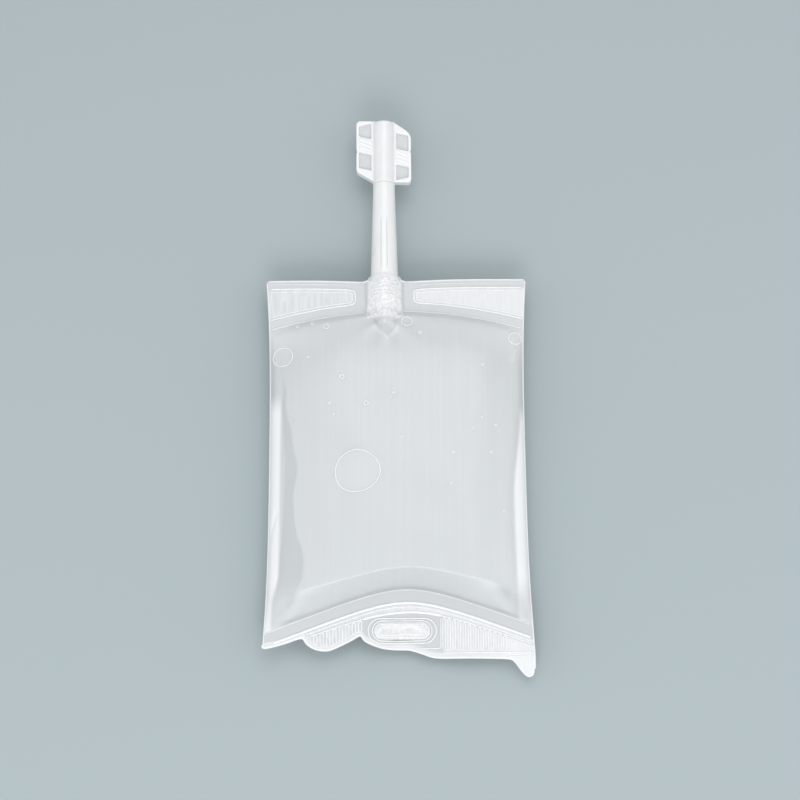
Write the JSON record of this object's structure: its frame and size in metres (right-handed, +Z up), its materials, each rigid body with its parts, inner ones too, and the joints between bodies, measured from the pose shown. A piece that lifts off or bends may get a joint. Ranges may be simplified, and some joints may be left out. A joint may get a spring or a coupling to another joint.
{
  "type": "iv fluid bag",
  "caption": "Small filled infusion bag of translucent film with a ribbed hanger end, a slot, a port tube and a winged twist-off cap.",
  "frame": {"origin": "under the middle of the whole length, on the surface that the bag lies on", "axes": "+Y from the hanger slot to the twist-off cap, +Z up through the bag's thickness, +X to the right seen from above"},
  "size_m": [0.089, 0.1934, 0.0186],
  "materials": {
    "film": "milky translucent film with clear weld bands",
    "solution": "clear watery liquid",
    "port": "natural translucent moulded plastic",
    "cap": "natural white moulded plastic"
  },
  "bodies": {
    "bag": {"bag_film": "film", "solution": "solution", "port": "port"},
    "cap": {"twist_off_cap": "cap"}
  },
  "joints": [
    {"name": "cap_twist", "type": "hinge", "parent": "bag", "child": "cap", "pos_m": [-0.004, 0.07345, 0.01], "axis": [0, 1, 0], "range_deg": [-90, 90]}
  ]
}
